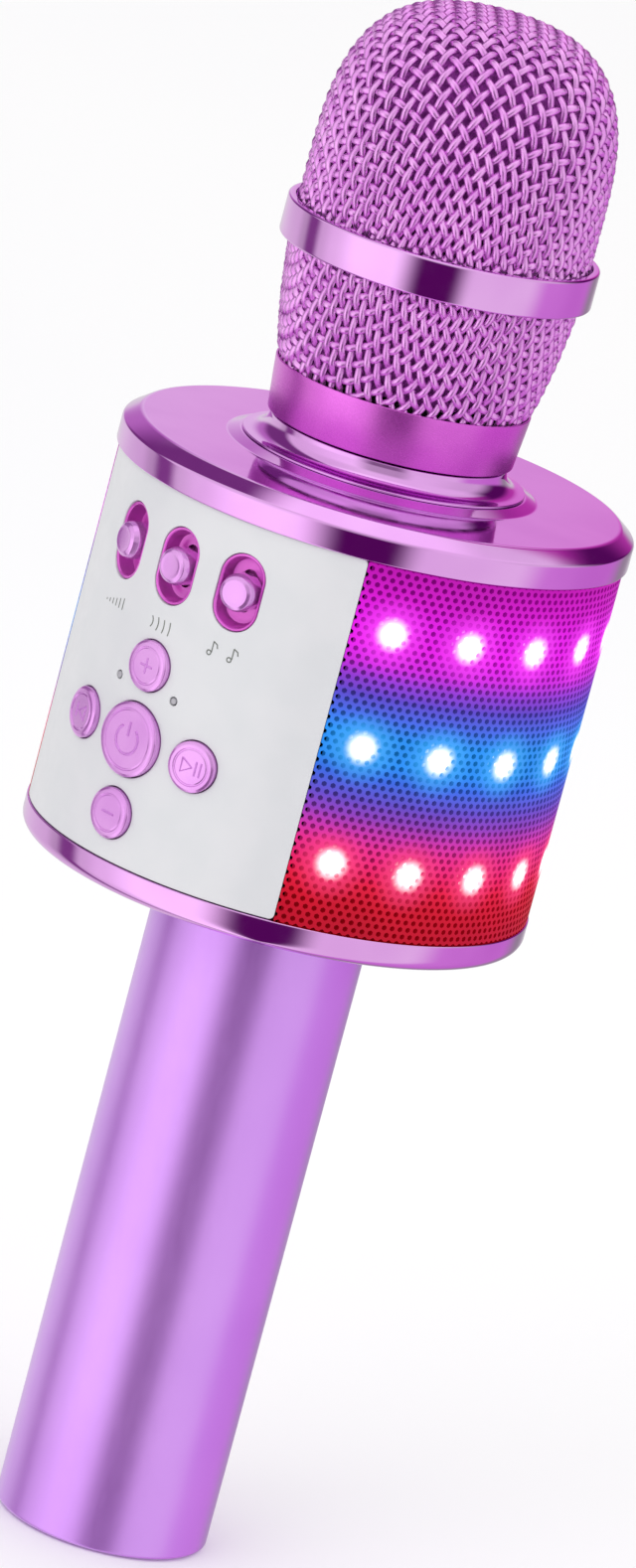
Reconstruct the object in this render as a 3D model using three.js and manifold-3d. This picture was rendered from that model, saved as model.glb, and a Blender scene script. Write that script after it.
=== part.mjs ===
// Hand-held toy karaoke microphone, standing on the end of its handle.
// Millimetres. +Z runs up the handle to the ball head, and the control panel faces -Y.
import * as THREE from 'three';
import { mergeVertices } from 'three/addons/utils/BufferGeometryUtils.js';
import Module from 'manifold-3d';

const wasm = await Module();
wasm.setup();

// ---- driving dimensions -------------------------------------------------------------
const GAP = 0.3; // clearance between neighbouring pieces

// Heights above the end of the handle.
const HANDLE_TOP = 118;
const BARREL_LOW = 106.5;
const PANEL_LOW = 111.0;
const PANEL_HIGH = 167.7;
const CAP_HIGH = 173.6;
const COLLAR_LOW = 178.45;
const COLLAR_HIGH = 185.9;
const BAND_LOW = 205.1;
const BAND_HIGH = 211.1;
const DOME_TOP = 245.3;

// Radii.
const HANDLE_R = 16.8;
const HANDLE_BORE_R = 15.1;
const CAP_R = 40;
const SHELL_R = 39.4; // outside of the control panel and the speaker grille
const SPIGOT_R = 15.4;
const BAND_R = 24.25;
const MESH_R = 22.85;
const MESH_WALL = 1.8;

// Control panel.
const PANEL_WALL = 2.0;
const PANEL_HALF_DEG = 43.35;
const SLIDER_Z = 157.3;
const SLIDER_DEG = 17.3;
const SLIDER_TRAVEL = 2.2; // each way
const SLOT = { halfWidth: 3.85, halfLength: 6.05 };
const KNOB_R = 2.9;
const BUTTON_Z = 129.8;
const BUTTON_DZ = 11.7;
const BUTTON_DEG = 17.4;
const BUTTON_R = 3.9;
const POWER_R = 5.7;
const INDICATOR = { z: 138.0, deg: 8.6, r: 0.5, flangeR: 1.3 };

// Lamps behind the speaker grille: one is at the middle of the back.
const LED_ROWS = { upper: 157.7, middle: 139.8, lower: 121.5 };
const LED_COUNT = 15;
const LED_STEP_DEG = 18.2;
const LED_SIZE = 4.6;

// Speakers face out to both sides.
const SPEAKER_R = 17.8;
const SPEAKER_Z = 139.8;

// Facets of a full circle.
const ROUND = 48;
const HEAD_ROUND = 36;
const INNER_ROUND = 24;
const SMALL_ROUND = 20;
const TINY_ROUND = 16;

// ---- helpers ------------------------------------------------------------------------
const rad = THREE.MathUtils.degToRad;

// A closed manifold solid from a three.js geometry.
function solid(geometry) {
  const bare = geometry.clone();
  bare.deleteAttribute('normal');
  bare.deleteAttribute('uv');
  const merged = mergeVertices(bare, 1e-5);
  const index = merged.index.array;
  const keep = [];
  for (let i = 0; i < index.length; i += 3) {
    const [a, b, c] = [index[i], index[i + 1], index[i + 2]];
    if (a !== b && b !== c && a !== c) keep.push(a, b, c);
  }
  const mesh = new wasm.Mesh({
    numProp: 3,
    vertProperties: new Float32Array(merged.attributes.position.array),
    triVerts: new Uint32Array(keep),
  });
  mesh.merge();
  const out = new wasm.Manifold(mesh);
  if (out.volume() > 0) return out;
  for (let i = 0; i < keep.length; i += 3) [keep[i + 1], keep[i + 2]] = [keep[i + 2], keep[i + 1]];
  mesh.triVerts = new Uint32Array(keep);
  return new wasm.Manifold(mesh);
}

// Turns a profile of [radius, height] points about Z.
function turned(profile, segments = ROUND) {
  const points = profile.map(([r, z]) => new THREE.Vector2(r, z));
  return solid(new THREE.LatheGeometry(points, segments).rotateX(Math.PI / 2));
}

// The same for a ring: the profile is closed on itself.
function ring(profile, segments = ROUND) {
  return turned([...profile, profile[0]], segments);
}

function extruded(shape, z0, z1, curveSegments = SMALL_ROUND) {
  const options = { depth: z1 - z0, bevelEnabled: false, curveSegments };
  return solid(new THREE.ExtrudeGeometry(shape, options).translate(0, 0, z0));
}

// A disc along Z.
function disc(r, z0, z1, segments = SMALL_ROUND) {
  const geometry = new THREE.CylinderGeometry(r, r, z1 - z0, segments);
  return solid(geometry.rotateX(Math.PI / 2).translate(0, 0, (z0 + z1) / 2));
}

// A block from its centre in X and Y, its size there, and its heights.
function block(x, y, width, depth, z0, z1) {
  const geometry = new THREE.BoxGeometry(width, depth, z1 - z0);
  return solid(geometry.translate(x, y, (z0 + z1) / 2));
}

// Part of a tube between two azimuths. Azimuth 0 faces -Y and 90 degrees faces +X.
function tubeSector(inner, outer, z0, z1, fromDeg, toDeg, stepDeg) {
  const steps = Math.ceil((toDeg - fromDeg) / stepDeg);
  const arc = (r, i) => {
    const a = rad(fromDeg + ((toDeg - fromDeg) * i) / steps);
    return new THREE.Vector2(r * Math.sin(a), -r * Math.cos(a));
  };
  const points = [];
  for (let i = 0; i <= steps; i += 1) points.push(arc(outer, i));
  for (let i = steps; i >= 0; i -= 1) points.push(arc(inner, i));
  return extruded(new THREE.Shape(points), z0, z1);
}

// An upright slot with round ends.
function stadium({ halfWidth, halfLength }, inset = 0) {
  const r = halfWidth - inset;
  const straight = halfLength - halfWidth;
  const shape = new THREE.Shape();
  shape.absarc(0, straight, r, 0, Math.PI, false);
  shape.absarc(0, -straight, r, Math.PI, 2 * Math.PI, false);
  shape.closePath();
  return shape;
}

// Puts a solid built along +Z on the barrel: its +Z points out, its +Y up.
function onBarrel(part, deg, z) {
  const a = rad(deg);
  const across = new THREE.Vector3(Math.cos(a), Math.sin(a), 0);
  const up = new THREE.Vector3(0, 0, 1);
  const out = new THREE.Vector3(Math.sin(a), -Math.cos(a), 0);
  const m = new THREE.Matrix4().makeBasis(across, up, out).setPosition(0, 0, z);
  return part.transform(m.elements);
}

// A wire along a curve.
function wire(points, r) {
  const path = new THREE.CatmullRomCurve3(points.map((p) => new THREE.Vector3(...p)));
  const shape = new THREE.Shape().absarc(0, 0, r, 0, 2 * Math.PI, false);
  const options = { steps: 10, curveSegments: 5, extrudePath: path, bevelEnabled: false };
  return solid(new THREE.ExtrudeGeometry(shape, options));
}

// Colour, metalness and roughness.
const finishes = {
  lavender: [0xcd8ceb, 0.5, 0.35],
  chrome: [0xd9a3e0, 0.9, 0.12],
  collar: [0xc95ccf, 0.7, 0.3],
  mesh: [0xd77ddc, 0.8, 0.35],
  panel: [0xdcdce0, 0.0, 0.35],
  grille: [0x8a3a92, 0.7, 0.4],
  diffuser: [0xf2e9f5, 0.0, 0.6],
  led: [0xffffff, 0.0, 0.3],
  button: [0xd79be0, 0.3, 0.2],
  well: [0xb0279a, 0.4, 0.25],
  black: [0x1b1b1e, 0.0, 0.5],
  board: [0x1f5a3a, 0.0, 0.5],
  steel: [0xb9bcc2, 0.9, 0.3],
  foam: [0x4a1f52, 0.0, 0.95],
  cell: [0x4f6fae, 0.0, 0.4],
};

const model = new THREE.Group();

function add(name, part, finish) {
  const mesh = part.getMesh();
  const geometry = new THREE.BufferGeometry();
  geometry.setAttribute('position', new THREE.BufferAttribute(mesh.vertProperties, 3));
  geometry.setIndex(new THREE.BufferAttribute(mesh.triVerts, 1));
  geometry.computeVertexNormals();
  const [color, metalness, roughness] = finishes[finish];
  const material = new THREE.MeshStandardMaterial({ color, metalness, roughness });
  const node = new THREE.Mesh(geometry, material);
  node.name = name;
  model.add(node);
}

// ---- handle -------------------------------------------------------------------------
const TUBE_LOW = 0.2; // the plug stands this much proud of the tube
add('handle_tube', ring([
  [HANDLE_R - 1.4, TUBE_LOW], [HANDLE_R - 0.45, TUBE_LOW + 0.4], [HANDLE_R, TUBE_LOW + 1.4],
  [HANDLE_R, HANDLE_TOP], [HANDLE_BORE_R, HANDLE_TOP], [HANDLE_BORE_R, TUBE_LOW],
]), 'lavender');

const PLUG = { r: HANDLE_BORE_R - GAP, high: 9, chamfer: 0.4 };
add('handle_plug', turned([
  [0, 0], [PLUG.r - PLUG.chamfer, 0], [PLUG.r, PLUG.chamfer], [PLUG.r, PLUG.high], [0, PLUG.high],
]), 'black');

// The cell, and the sleeve that centres it with a collar at each end.
const CELL = { r: 9.1, low: 18.6, high: 87, pipR: 3.2, pipHigh: 88.4 };
add('battery_cell', turned([
  [0, CELL.low], [CELL.r, CELL.low], [CELL.r, CELL.high], [CELL.pipR, CELL.high],
  [CELL.pipR, CELL.pipHigh], [0, CELL.pipHigh],
], INNER_ROUND), 'cell');
const SLEEVE = { low: 18, high: 89, bore: CELL.r + 0.4, r: 11, collar: 2.5 };
add('battery_sleeve', ring([
  [SLEEVE.bore, SLEEVE.low], [PLUG.r, SLEEVE.low], [PLUG.r, SLEEVE.low + SLEEVE.collar],
  [SLEEVE.r, SLEEVE.low + SLEEVE.collar], [SLEEVE.r, SLEEVE.high - SLEEVE.collar],
  [PLUG.r, SLEEVE.high - SLEEVE.collar], [PLUG.r, SLEEVE.high], [SLEEVE.bore, SLEEVE.high],
], INNER_ROUND), 'black');
const cellLead = [[4, 0, 89.6], [5, -2, 102], [3, -10, 119], [2, -17, 126], [2, -21.2, 127]];
add('battery_lead', wire(cellLead, 0.9), 'black');

// ---- bottom cap with the sockets and screws on its underside -------------------------
const FLOOR_TOP = BARREL_LOW + 2.7;
const SOCKET = { inner: HANDLE_R + GAP, outer: 19.6, high: 121 }; // grips the handle
const SHELL_SEAT_R = 35.6; // inside of the walls that hold the panel and the grille
const BELOW = 100; // cutters start below the cap,
const ABOVE = 112; // and end above its floor

const PORT_Y = -26;
const PORT_LOW = BARREL_LOW + 0.4;
const PORT_END = 0.8; // wall at the closed end
const ports = {
  usb_port: { x: -9.6, width: 9.4, depth: 3.4, wall: 0.5, top: 114.2 },
  card_slot: { x: 12.2, width: 11.6, depth: 2.2, wall: 0.4, top: 113.2 },
};
const AUX = { r: 3.0, bore: 1.8, top: 116 };
const SCREW = {
  circle: 29.8, degs: [60, 180, 300], headR: 2.6, headLow: 0.2, headHigh: 1.4, shankR: 1.2,
  top: 117, pocket: 1.7,
};
const atScrew = (part, deg) => part.translate([
  SCREW.circle * Math.sin(rad(deg)), -SCREW.circle * Math.cos(rad(deg)), 0,
]);

let bottomCap = ring([
  [SOCKET.inner, BARREL_LOW], [CAP_R - 2.2, BARREL_LOW], [CAP_R - 0.8, BARREL_LOW + 0.7],
  [CAP_R - 0.4, BARREL_LOW + 1.7], [CAP_R - 0.4, PANEL_LOW - GAP], [SHELL_SEAT_R, PANEL_LOW - GAP],
  [SHELL_SEAT_R, FLOOR_TOP], [SOCKET.outer, FLOOR_TOP], [SOCKET.outer, SOCKET.high],
  [SOCKET.inner, SOCKET.high],
]);
for (const port of Object.values(ports)) {
  const hole = block(port.x, PORT_Y, port.width + 2 * GAP, port.depth + 2 * GAP, BELOW, ABOVE);
  bottomCap = bottomCap.subtract(hole);
}
bottomCap = bottomCap.subtract(disc(AUX.r + GAP, BELOW, ABOVE).translate([0, PORT_Y, 0]));
for (const deg of SCREW.degs) {
  const pocket = disc(SCREW.headR + GAP, BELOW, BARREL_LOW + SCREW.pocket);
  const hole = disc(SCREW.shankR + GAP, BELOW, ABOVE, TINY_ROUND);
  bottomCap = bottomCap.subtract(atScrew(pocket.add(hole), deg));
}
add('bottom_cap', bottomCap, 'chrome');

for (const [name, port] of Object.entries(ports)) {
  const body = block(port.x, PORT_Y, port.width, port.depth, PORT_LOW, port.top);
  const inner = [port.width - 2 * port.wall, port.depth - 2 * port.wall];
  const cavity = block(port.x, PORT_Y, ...inner, BELOW, port.top - PORT_END);
  add(name, body.subtract(cavity), 'steel');
}
const auxSocket = disc(AUX.r, PORT_LOW, AUX.top, INNER_ROUND)
  .subtract(disc(AUX.bore, BELOW, AUX.top - 1));
add('aux_socket', auxSocket.translate([0, PORT_Y, 0]), 'black');

SCREW.degs.forEach((deg, i) => {
  const head = disc(SCREW.headR, BARREL_LOW + SCREW.headLow, BARREL_LOW + SCREW.headHigh);
  const shank = disc(SCREW.shankR, BARREL_LOW + SCREW.headHigh - 0.1, SCREW.top, TINY_ROUND);
  add(`chassis_screw_${i + 1}`, atScrew(head.add(shank), deg), 'steel');
});

// ---- chassis: the inner frame that carries the lamps and closes the barrel ----------
const CHASSIS = { inner: 33, outer: 35, low: FLOOR_TOP + GAP, high: 170.6, hoop: 2, boss: 120 };
const hoop = (z0, z1) => ring([
  [CHASSIS.inner, z0], [CHASSIS.outer, z0], [CHASSIS.outer, z1], [CHASSIS.inner, z1],
]);
const SPEAKER_HOLE_R = SPEAKER_R - 1.6;
let chassis = tubeSector(CHASSIS.inner, CHASSIS.outer, CHASSIS.low, CHASSIS.high, 45, 315, 7.5)
  .add(hoop(CHASSIS.low, CHASSIS.low + CHASSIS.hoop))
  .add(hoop(CHASSIS.high - CHASSIS.hoop, CHASSIS.high))
  .subtract(disc(SPEAKER_HOLE_R, -CAP_R, CAP_R, INNER_ROUND).rotate([0, 90, 0])
    .translate([0, 0, SPEAKER_Z]));
for (const deg of SCREW.degs) {
  const boss = disc(3, CHASSIS.low, CHASSIS.boss, TINY_ROUND);
  const rib = block(0, -31.5, 3, 4, CHASSIS.low, CHASSIS.boss).rotate([0, 0, deg]);
  const hole = disc(SCREW.shankR + GAP, BELOW, SCREW.top + 1, TINY_ROUND);
  chassis = chassis.add(atScrew(boss, deg)).add(rib).subtract(atScrew(hole, deg));
}
add('chassis', chassis, 'black');

// ---- control panel ------------------------------------------------------------------
const THROUGH = [30, 45]; // radial reach of a cutter through the panel
const CAP_BACK = 35.7; // radial, as are all the heights of the controls
const buttons = {
  power: { deg: 0, z: BUTTON_Z, r: POWER_R, ears: [-45, -135] },
  up: { deg: 0, z: BUTTON_Z + BUTTON_DZ, r: BUTTON_R, ears: [0, 180] },
  down: { deg: 0, z: BUTTON_Z - BUTTON_DZ, r: BUTTON_R, ears: [0, 180] },
  left: { deg: -BUTTON_DEG, z: BUTTON_Z, r: BUTTON_R, ears: [90, -90] },
  right: { deg: BUTTON_DEG, z: BUTTON_Z, r: BUTTON_R, ears: [90, -90] },
};
const sliders = { volume: -SLIDER_DEG, echo: 0, music: SLIDER_DEG };
const indicators = { indicator_left: -INDICATOR.deg, indicator_right: INDICATOR.deg };

let panel = tubeSector(
  SHELL_R - PANEL_WALL, SHELL_R, PANEL_LOW, PANEL_HIGH, -PANEL_HALF_DEG, PANEL_HALF_DEG, 5,
);
for (const { deg, z, r } of Object.values(buttons)) {
  panel = panel.subtract(onBarrel(disc(r + GAP, ...THROUGH), deg, z));
}
for (const deg of Object.values(sliders)) {
  panel = panel.subtract(onBarrel(extruded(stadium(SLOT), ...THROUGH, 8), deg, SLIDER_Z));
}
for (const deg of Object.values(indicators)) {
  const hole = disc(INDICATOR.r + GAP, ...THROUGH, TINY_ROUND);
  panel = panel.subtract(onBarrel(hole, deg, INDICATOR.z));
}
add('control_panel', panel, 'panel');

// Buttons: a stepped cap, ears that keep it behind the panel, and a stem to its switch.
const BUTTON = { shoulder: 39.8, top: 40.3, step: 0.55, stemR: 1.5, stemBack: 35.4 };
const EAR = { reach: 1.1, width: 3, top: 36.4 };
const SWITCH = { side: 5.6, back: 31.7, front: 34, plungerR: 1.6, plungerTop: 34.5 };
for (const [name, { deg, z, r, ears }] of Object.entries(buttons)) {
  let cap = disc(r, CAP_BACK, BUTTON.shoulder)
    .add(disc(r - BUTTON.step, BUTTON.shoulder - 0.1, BUTTON.top))
    .add(disc(BUTTON.stemR, BUTTON.stemBack, CAP_BACK + 0.1, TINY_ROUND));
  for (const ear of ears) {
    const reach = r + EAR.reach;
    cap = cap.add(block(reach / 2, 0, reach, EAR.width, CAP_BACK, EAR.top).rotate([0, 0, ear]));
  }
  add(`${name}_button`, onBarrel(cap, deg, z), 'button');
  const body = block(0, 0, SWITCH.side, SWITCH.side, SWITCH.back, SWITCH.front);
  const plunger = disc(SWITCH.plungerR, SWITCH.front - 0.1, SWITCH.plungerTop, TINY_ROUND);
  add(`${name}_switch`, onBarrel(body.add(plunger), deg, z), 'black');
}

// Sliders: a deep well in the panel, a knob whose lever passes its floor, and the slide
// control behind.
const WELL = { wall: 0.35, back: 36.0, floor: 36.6, front: 39.1 };
const LEVER = { halfWidth: 0.8, halfLength: 0.9, back: 34.7 };
const KNOB = { back: 36.9, shoulder: 40.2, top: 40.7, step: 0.5 };
const CONTROL = { width: 7.6, length: 15, back: 31.8, front: 34.4 };
const leverSlot = {
  width: 2 * (LEVER.halfWidth + GAP + 0.2),
  length: 2 * (LEVER.halfLength + SLIDER_TRAVEL + GAP),
};
for (const [name, deg] of Object.entries(sliders)) {
  const well = extruded(stadium(SLOT, GAP), WELL.back, WELL.front, 8)
    .subtract(extruded(stadium(SLOT, GAP + WELL.wall), WELL.floor, THROUGH[1], 8))
    .subtract(block(0, 0, leverSlot.width, leverSlot.length, ...THROUGH));
  add(`${name}_well`, onBarrel(well, deg, SLIDER_Z), 'well');
  const lever = block(0, 0, 2 * LEVER.halfWidth, 2 * LEVER.halfLength, LEVER.back, KNOB.back + 0.2);
  const knob = disc(KNOB_R, KNOB.back, KNOB.shoulder)
    .add(disc(KNOB_R - KNOB.step, KNOB.shoulder - 0.1, KNOB.top))
    .add(lever);
  add(`${name}_knob`, onBarrel(knob, deg, SLIDER_Z), 'button');
  const control = block(0, 0, CONTROL.width, CONTROL.length, CONTROL.back, CONTROL.front);
  add(`${name}_control`, onBarrel(control, deg, SLIDER_Z), 'steel');
}

for (const [name, deg] of Object.entries(indicators)) {
  const pipe = disc(INDICATOR.r, 36, SHELL_R + 0.1, TINY_ROUND)
    .add(disc(INDICATOR.flangeR, 36, 36.6, TINY_ROUND));
  add(name, onBarrel(pipe, deg, INDICATOR.z), 'diffuser');
}

add('key_board', tubeSector(30.6, 31.4, 115, 166, -36, 36, 4), 'board');
const mainBoard = block(0, -22.8, 42, 1.6, 116, 166)
  .add(block(-6, -21.5, 10, 1.4, 146, 156))
  .add(block(8, -21.4, 14, 1.6, 128, 138))
  .add(block(-9, -21, 6, 2.4, 120, 126));
add('main_board', mainBoard, 'board');

// ---- speakers, lamps and grille -----------------------------------------------------
const driverProfile = [ // from the magnet's back to the rim and down into the cone
  [0, 12], [9, 12], [9, 17], [16, 24], [SPEAKER_R, 25.2], [SPEAKER_R, 27.4], [16, 27.4],
  [14.5, 26.2], [6, 20.5], [3, 22], [0, 22.4],
];
for (const [name, turn] of [['speaker_left', -90], ['speaker_right', 90]]) {
  const driver = turned(driverProfile, INNER_ROUND);
  add(name, driver.rotate([0, turn, 0]).translate([0, 0, SPEAKER_Z]), 'black');
}

const STRIP = { inner: 35.3, outer: 35.8, half: 4, ledTop: 36.9 };
for (const [row, z] of Object.entries(LED_ROWS)) {
  let strip = tubeSector(STRIP.inner, STRIP.outer, z - STRIP.half, z + STRIP.half, 46, 314, 9);
  for (let i = 0; i < LED_COUNT; i += 1) {
    const deg = 180 + (i - (LED_COUNT - 1) / 2) * LED_STEP_DEG;
    const led = block(0, 0, LED_SIZE, LED_SIZE, STRIP.inner + 0.1, STRIP.ledTop);
    strip = strip.add(onBarrel(led, deg, z));
  }
  add(`led_strip_${row}`, strip, 'led');
}

const SLEEVES = { grilleFrom: 43.75, diffuserFrom: 44.6 }; // azimuths beside the panel
add('light_diffuser', tubeSector(
  37.3, 38.4, PANEL_LOW + 0.2, PANEL_HIGH - 0.1, SLEEVES.diffuserFrom, 360 - SLEEVES.diffuserFrom, 7.5,
), 'diffuser');
add('speaker_grille', tubeSector(
  38.8, SHELL_R, PANEL_LOW, PANEL_HIGH, SLEEVES.grilleFrom, 360 - SLEEVES.grilleFrom, 4,
), 'grille');

// ---- top cap and neck ---------------------------------------------------------------
const NECK_BORE = SPIGOT_R + GAP;
const PLATE_LOW = 171;
add('top_cap', ring([
  [NECK_BORE, PLATE_LOW], [NECK_BORE, 174.4], [22.4, 174.4], [23.6, 174.05], [24.4, CAP_HIGH],
  [36.8, CAP_HIGH], [39.2, 172.95], [39.8, 172.45], [CAP_R, 171.9], [CAP_R, PANEL_HIGH + GAP],
  [SHELL_SEAT_R, PANEL_HIGH + GAP], [SHELL_SEAT_R, PLATE_LOW],
]), 'chrome');
add('neck_ring', ring([
  [NECK_BORE, 174.7], [21.3, 174.7], [21.7, 175.1], [21.7, 175.7], [21.2, 176.2], [20.3, 176.4],
  [19.1, 178.1], [NECK_BORE, 178.1],
], HEAD_ROUND), 'chrome');
add('neck_spigot', ring([
  [12.6, 168.2], [19.5, 168.2], [19.5, PLATE_LOW - GAP], [SPIGOT_R, PLATE_LOW - GAP],
  [SPIGOT_R, 188], [12.6, 188],
], HEAD_ROUND), 'black');
add('capsule_cup', turned([
  [0, 184], [12.3, 184], [12.3, 188.3], [14.8, 188.3], [14.8, 190.5], [9.5, 192], [9.5, 199],
  [7.3, 199], [7.3, 193], [0, 193],
], INNER_ROUND), 'black');
add('mic_capsule', disc(7, 193.3, 201, INNER_ROUND), 'steel');
const capsuleLead = [[2, 0, 183.6], [2, -3, 176], [1, -6, 168], [-2, -13, 163], [-4, -21.6, 160]];
add('capsule_lead', wire(capsuleLead, 0.7), 'black');

// ---- screw-on head ------------------------------------------------------------------
add('head_insert', ring([
  [NECK_BORE, 179.2], [17.75, 179.2], [17.75, 187.2], [NECK_BORE, 187.2],
], HEAD_ROUND), 'black');
const COLLAR = { lowR: 19.3, highR: 19.85, boreR: 18.3, floor: 0.45 };
add('head_collar', ring([
  [15.9, COLLAR_LOW], [COLLAR.lowR - 0.2, COLLAR_LOW], [COLLAR.lowR, COLLAR_LOW + 0.2],
  [COLLAR.highR, COLLAR_HIGH], [COLLAR.boreR, COLLAR_HIGH], [COLLAR.boreR, COLLAR_LOW + COLLAR.floor],
  [15.9, COLLAR_LOW + COLLAR.floor],
], HEAD_ROUND), 'collar');

const coneProfile = [
  [COLLAR.highR, COLLAR_HIGH + GAP], [20.9, 191], [21.8, 196], [22.4, 201], [MESH_R, 205],
  [MESH_R, 208],
];
const coneInside = coneProfile.map(([r, z]) => [r - MESH_WALL, z]).reverse();
add('head_cone_mesh', ring([...coneProfile, ...coneInside], HEAD_ROUND), 'mesh');

const BAND_EDGE = 0.3;
add('head_band', ring([
  [MESH_R + GAP, BAND_LOW], [BAND_R - BAND_EDGE, BAND_LOW], [BAND_R, BAND_LOW + BAND_EDGE],
  [BAND_R, BAND_HIGH - BAND_EDGE], [BAND_R - BAND_EDGE, BAND_HIGH], [MESH_R + GAP, BAND_HIGH],
], HEAD_ROUND), 'chrome');

// The dome is a straight skirt under a squared-off round top.
const DOME = { low: 208.3, skirtTop: 216.8, power: 2.95 };
function domeProfile(inset, low, steps) {
  const height = DOME_TOP - inset - DOME.skirtTop;
  const r = MESH_R - inset;
  const points = [[r, low]];
  for (let i = 0; i <= steps; i += 1) {
    const up = Math.sin((Math.PI / 2) * (i / steps));
    const radius = i === steps ? 0 : r * (1 - up ** DOME.power) ** (1 / DOME.power);
    points.push([radius, DOME.skirtTop + height * up]);
  }
  return points;
}
const domeInside = domeProfile(MESH_WALL, DOME.low, 5).reverse();
add('head_dome_mesh', turned([...domeInside, ...domeProfile(0, DOME.low, 9)], HEAD_ROUND), 'mesh');

// Foam windscreen lining the whole head, open below for the microphone capsule.
const FOAM = { low: 187.8, inset: MESH_WALL + 0.4, thick: 3.2, skirtLow: 205 };
const foamOutside = [
  [17.9, FOAM.low], [20.9 - FOAM.inset, 191], [22.4 - FOAM.inset, 201],
  ...domeProfile(FOAM.inset, FOAM.skirtLow, 5),
];
const foamInside = [
  [15.7, FOAM.low], [15.9, 191], [17.2, 201],
  ...domeProfile(FOAM.inset + FOAM.thick, FOAM.skirtLow, 4),
].reverse();
add('foam_liner', turned([...foamInside, ...foamOutside], INNER_ROUND), 'foam');

export default model;
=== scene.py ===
"""Looks of the toy karaoke microphone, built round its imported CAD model.

Everything is in metres in the row frame: +Z runs up the handle to the head, the control panel faces -Y.
Lengths below are written in millimetres through MM. Azimuths are in degrees, 0 facing -Y and 90 facing +X.
"""

import math

import bmesh
import bpy
import numpy as np
from mathutils import Matrix, Vector, noise


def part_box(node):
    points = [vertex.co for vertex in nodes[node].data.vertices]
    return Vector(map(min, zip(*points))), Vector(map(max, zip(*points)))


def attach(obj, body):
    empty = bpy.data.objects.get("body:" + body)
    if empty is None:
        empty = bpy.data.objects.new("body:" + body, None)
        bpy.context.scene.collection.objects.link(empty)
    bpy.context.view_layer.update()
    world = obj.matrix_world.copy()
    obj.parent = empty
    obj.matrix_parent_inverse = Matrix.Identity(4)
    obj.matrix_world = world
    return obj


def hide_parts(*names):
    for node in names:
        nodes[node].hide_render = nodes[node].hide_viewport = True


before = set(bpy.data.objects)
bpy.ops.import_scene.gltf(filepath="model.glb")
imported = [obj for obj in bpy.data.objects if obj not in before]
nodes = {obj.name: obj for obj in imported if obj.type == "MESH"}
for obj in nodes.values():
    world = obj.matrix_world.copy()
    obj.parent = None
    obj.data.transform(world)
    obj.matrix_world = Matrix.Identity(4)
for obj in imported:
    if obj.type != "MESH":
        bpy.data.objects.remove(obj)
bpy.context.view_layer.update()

MM = 0.001
TAU = 2 * math.pi
UP = Vector((0, 0, 1))
GAP = 0.3 * MM

ROOT = "microphone"
HEAD = "head"
BUTTONS = ("power", "up", "down", "left", "right")
SLIDERS = ("volume", "echo", "music")
SIDE_BUTTON_DEG = 17.4
SLIDER_DEG = {"volume": -17.3, "echo": 0.0, "music": 17.3}
BUTTON_DEG = {"power": 0.0, "up": 0.0, "down": 0.0, "left": -SIDE_BUTTON_DEG, "right": SIDE_BUTTON_DEG}
INDICATOR_DEG = 8.6
PANEL_HALF_DEG = 43.42
GRILLE_FROM_DEG = 43.52


# ---- places read from the frame ---------------------------------------------------------------------
def low(name):
    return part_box(name)[0]


def high(name):
    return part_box(name)[1]


def mid_z(name):
    return (low(name).z + high(name).z) / 2


def radius_of(name):
    return high(name).x


SHELL_R = radius_of("speaker_grille")
MESH_R = radius_of("head_dome_mesh")
DOME_TOP = high("head_dome_mesh").z
DOME_LOW = low("head_dome_mesh").z
CONE_LOW = low("head_cone_mesh").z
CONE_HIGH = high("head_cone_mesh").z
PANEL_LOW = low("control_panel").z
PANEL_HIGH = high("control_panel").z
SLIDER_Z = mid_z("echo_well")
BUTTON_R = {name: (5.7 if name == "power" else 3.9) * MM for name in BUTTONS}
BUTTON_Z = {name: mid_z(f"{name}_button" if name in ("up", "down") else "left_button") for name in BUTTONS}
BUTTON_GAP = 0.14 * MM
SLOT_HALF = (3.85 * MM, 6.05 * MM)
INDICATOR_R = 0.5 * MM
INDICATOR_GAP = 0.2 * MM
INDICATOR_Z = mid_z("indicator_left")
PANEL_THICK = 2.0 * MM
PANEL_BEVEL = 0.15 * MM
PANEL_CORNER = 0.8 * MM
PANEL_OVER = 0.2 * MM
LED_ROWS = [mid_z(f"led_strip_{row}") for row in ("upper", "middle", "lower")]
LED_STEP_DEG = 18.2

# ---- camera ------------------------------------------------------------------------------------------
CAMERA_AZIMUTH = 40.7
CAMERA_ELEVATION = 14.3
CAMERA_ROLL = 15.0
CAMERA_DISTANCE = 1.5
CAMERA_AIM_RIGHT = 3.1 * MM
CAMERA_AIM_Z = 123.0 * MM
SENSOR = 36.0
LENS = 225.7


def direction(azimuth, elevation=0.0):
    a, e = math.radians(azimuth), math.radians(elevation)
    return Vector((math.sin(a) * math.cos(e), -math.cos(a) * math.cos(e), math.sin(e)))


def looking_back(back):
    """Axes for something whose local +Z points along back and whose +X is level."""
    right = UP.cross(back).normalized()
    return Matrix((right, back.cross(right), back)).transposed().to_4x4()


def linked(name, data):
    """A new object in the scene."""
    obj = bpy.data.objects.new(name, data)
    bpy.context.scene.collection.objects.link(obj)
    return obj


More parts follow.
